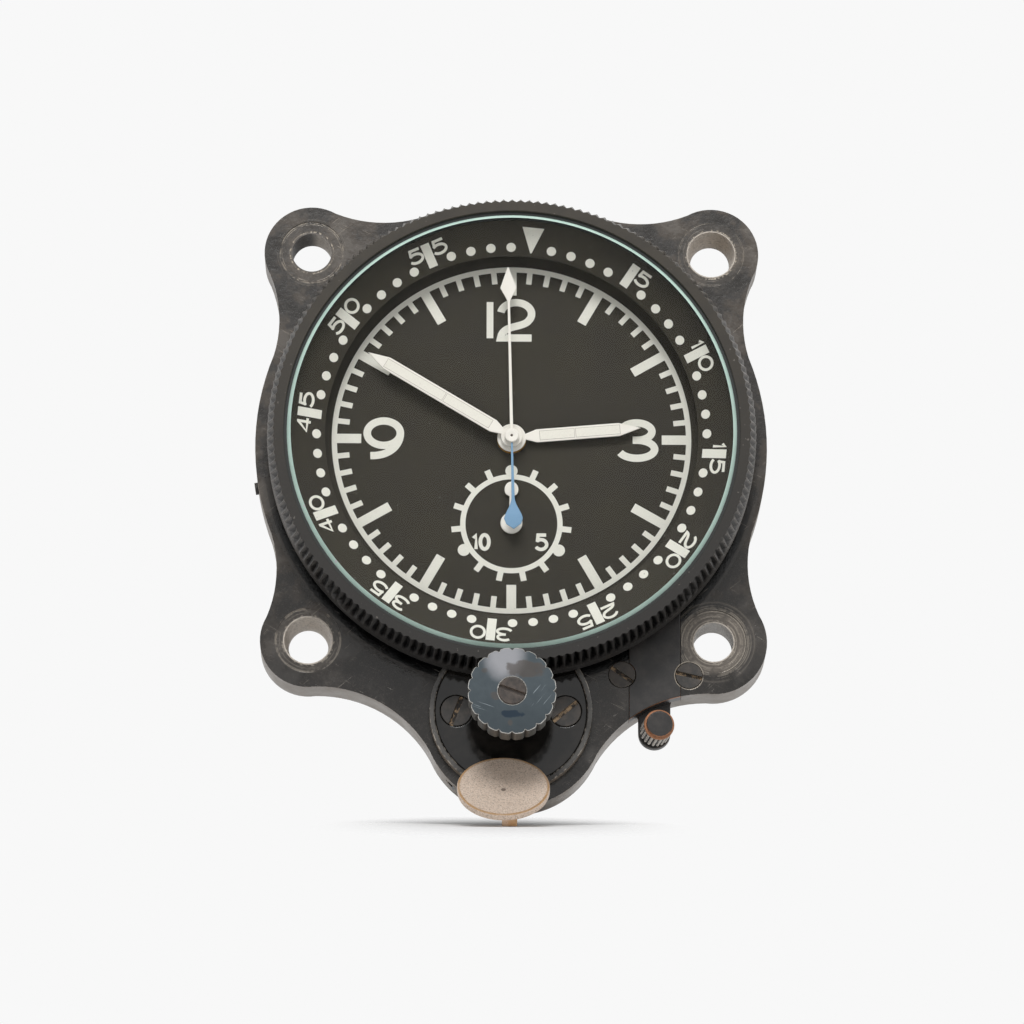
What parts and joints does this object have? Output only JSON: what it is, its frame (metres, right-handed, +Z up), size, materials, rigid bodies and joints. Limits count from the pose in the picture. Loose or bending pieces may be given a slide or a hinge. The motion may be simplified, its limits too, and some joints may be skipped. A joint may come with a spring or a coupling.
{
  "type": "aircraft panel chronograph clock",
  "caption": "Round black panel-mounted aircraft clock with lobed flange, knurled turning bezel, luminous hands, minute register, winding knob, thumb paddle and setting slide.",
  "frame": {"origin": "on the dial axis, in the plane of the flange's rear face, which seats on the instrument panel; it is the centre of the four panel holes", "axes": "+X right as the dial is read, +Y back into the panel along the dial axis, +Z up the dial towards 12"},
  "size_m": [0.0801, 0.0565, 0.1031],
  "materials": {
    "black_paint": "semi-gloss, worn",
    "black_screws": "worn oxide",
    "bezel_paint": "satin, worn edges",
    "dial_black": "matt",
    "crystal": "clear",
    "gasket": "matt",
    "knob_steel": "blued, worn",
    "paddle_nickel": "blasted nickel",
    "slide_copper": "worn to copper",
    "steel": "polished",
    "blued_steel": "blued",
    "brass": "satin",
    "lume": "matt cream"
  },
  "bodies": {
    "case": {"case_body": "black_paint", "rear_cover": "black_paint", "rear_gasket": "gasket", "rear_cover_screws": "black_screws", "boss_cap": "black_paint", "boss_cap_screws": "black_screws", "slot_cover": "black_paint", "slot_cover_screws": "black_screws", "side_screw": "black_screws", "bezel_snap_ring": "steel", "dial": "dial_black", "main_plate": "brass", "movement_screws": "steel", "plate_pillars": "brass", "rear_plate": "brass", "rear_plate_screws": "steel", "chrono_bridge": "brass", "chrono_bridge_screws": "steel", "wheel_posts": "steel", "paddle_pin": "steel", "hairspring": "blued_steel"},
    "bezel": {"bezel_ring": "bezel_paint", "minute_ring": "dial_black", "crystal_gasket": "gasket", "crystal": "crystal"},
    "winder": {"winding_knob": "knob_steel", "knob_screw": "knob_steel", "winding_stem": "steel", "stem_wheel": "brass"},
    "idler_a": {"winding_idler_a": "brass"},
    "idler_b": {"winding_idler_b": "brass"},
    "winding_arbor": {"ratchet_wheel": "steel", "barrel_arbor": "steel"},
    "click_pawl": {"click": "steel"},
    "barrel": {"barrel_drum": "brass", "barrel_lid": "brass", "mainspring": "blued_steel"},
    "intermediate": {"intermediate_wheel": "brass"},
    "centre": {"centre_wheel": "brass"},
    "third": {"third_wheel": "brass"},
    "fourth": {"fourth_wheel": "brass"},
    "escape": {"escape_wheel": "steel"},
    "pallets": {"pallet_fork": "steel"},
    "balance": {"balance_wheel": "brass"},
    "minute": {"minute_hand": "lume", "cannon_pinion": "steel"},
    "minute_work": {"minute_wheel": "brass"},
    "hour": {"hour_hand": "lume", "hour_wheel": "brass"},
    "sweep": {"sweep_hand": "lume", "chrono_runner": "steel"},
    "chrono_mid": {"chrono_wheel": "brass"},
    "register": {"register_hand": "lume", "register_wheel": "brass"},
    "paddle": {"paddle_arm": "paddle_nickel", "paddle_disc": "paddle_nickel"},
    "setting": {"setting_slide": "slide_copper", "slide_knob": "slide_copper"}
  },
  "joints": [
    {"name": "bezel_turn", "type": "hinge", "parent": "case", "child": "bezel", "pos_m": [0, 0, 0], "axis": [0, 1, 0], "continuous": true},
    {"name": "winding_turn", "type": "hinge", "parent": "case", "child": "winder", "pos_m": [0, 0, -0.043], "axis": [0, 1, 0], "continuous": true},
    {"name": "idler_a_turn", "type": "hinge", "parent": "case", "child": "idler_a", "pos_m": [0, 0, -0.031], "axis": [0, 1, 0], "continuous": true},
    {"name": "idler_b_turn", "type": "hinge", "parent": "case", "child": "idler_b", "pos_m": [-0.00836, 0, -0.02072], "axis": [0, 1, 0], "continuous": true},
    {"name": "ratchet_turn", "type": "hinge", "parent": "case", "child": "winding_arbor", "pos_m": [-0.0145, 0, -0.00676], "axis": [0, 1, 0], "continuous": true},
    {"name": "click_swing", "type": "hinge", "parent": "case", "child": "click_pawl", "pos_m": [-0.02455, 0, -0.00096], "axis": [0, -1, 0], "range_deg": [0, 12], "stiffness_Nm_per_rad": 0.002, "springref_deg": -2.86},
    {"name": "third_turn", "type": "hinge", "parent": "case", "child": "third", "pos_m": [0.00812, 0, -0.00296], "axis": [0, 1, 0], "continuous": true},
    {"name": "centre_turn", "type": "hinge", "parent": "case", "child": "centre", "pos_m": [0, 0, 0], "axis": [0, 1, 0], "continuous": true},
    {"name": "intermediate_turn", "type": "hinge", "parent": "case", "child": "intermediate", "pos_m": [-0.00688, 0, 0.00581], "axis": [0, 1, 0], "continuous": true},
    {"name": "barrel_turn", "type": "hinge", "parent": "case", "child": "barrel", "pos_m": [-0.0145, 0, -0.00676], "axis": [0, 1, 0], "continuous": true},
    {"name": "fourth_turn", "type": "hinge", "parent": "case", "child": "fourth", "pos_m": [0.0128, 0, -0.00964], "axis": [0, 1, 0], "continuous": true},
    {"name": "escape_turn", "type": "hinge", "parent": "case", "child": "escape", "pos_m": [0.01734, 0, -0.00315], "axis": [0, 1, 0], "continuous": true},
    {"name": "pallet_swing", "type": "hinge", "parent": "case", "child": "pallets", "pos_m": [0.01654, 0, 0.00138], "axis": [0, 1, 0], "range_deg": [-4, 4]},
    {"name": "balance_swing", "type": "hinge", "parent": "case", "child": "balance", "pos_m": [0.01593, 0, 0.00835], "axis": [0, 1, 0], "range_deg": [-270, 270], "stiffness_Nm_per_rad": 0.000002, "deforming": ["hairspring"]},
    {"name": "minute_turn", "type": "hinge", "parent": "case", "child": "minute", "pos_m": [0, 0, 0], "axis": [0, 1, 0], "continuous": true},
    {"name": "minute_work_turn", "type": "hinge", "parent": "case", "child": "minute_work", "pos_m": [0.0046, 0, 0.00386], "axis": [0, 1, 0], "continuous": true},
    {"name": "hour_turn", "type": "hinge", "parent": "case", "child": "hour", "pos_m": [0, 0, 0], "axis": [0, 1, 0], "continuous": true},
    {"name": "sweep_turn", "type": "hinge", "parent": "case", "child": "sweep", "pos_m": [0, 0, 0], "axis": [0, 1, 0], "continuous": true},
    {"name": "chrono_mid_turn", "type": "hinge", "parent": "case", "child": "chrono_mid", "pos_m": [0.00117, 0, -0.0065], "axis": [0, 1, 0], "continuous": true},
    {"name": "register_turn", "type": "hinge", "parent": "case", "child": "register", "pos_m": [0, 0, -0.0136], "axis": [0, 1, 0], "continuous": true},
    {"name": "paddle_press", "type": "hinge", "parent": "case", "child": "paddle", "pos_m": [0, -0.004, -0.0537], "axis": [1, 0, 0], "range_deg": [0, 8], "stiffness_Nm_per_rad": 0.02, "springref_deg": -5.73},
    {"name": "setting_pull", "type": "slide", "parent": "case", "child": "setting", "axis": [0, 0, -1], "range_m": [0, 0.003]}
  ],
  "couplings": [
    {"joint": "idler_a_turn", "follows": "winding_turn", "ratio": -1},
    {"joint": "idler_b_turn", "follows": "winding_turn", "ratio": 0.82759},
    {"joint": "ratchet_turn", "follows": "winding_turn", "ratio": -0.75},
    {"joint": "centre_turn", "follows": "third_turn", "ratio": -0.125},
    {"joint": "intermediate_turn", "follows": "third_turn", "ratio": 0.03125},
    {"joint": "barrel_turn", "follows": "third_turn", "ratio": -0.0052083},
    {"joint": "fourth_turn", "follows": "third_turn", "ratio": -7.5},
    {"joint": "escape_turn", "follows": "third_turn", "ratio": 60},
    {"joint": "minute_work_turn", "follows": "minute_turn", "ratio": -0.33333},
    {"joint": "hour_turn", "follows": "minute_turn", "ratio": 0.083333},
    {"joint": "chrono_mid_turn", "follows": "sweep_turn", "ratio": -0.2},
    {"joint": "register_turn", "follows": "sweep_turn", "ratio": 0.066667}
  ]
}
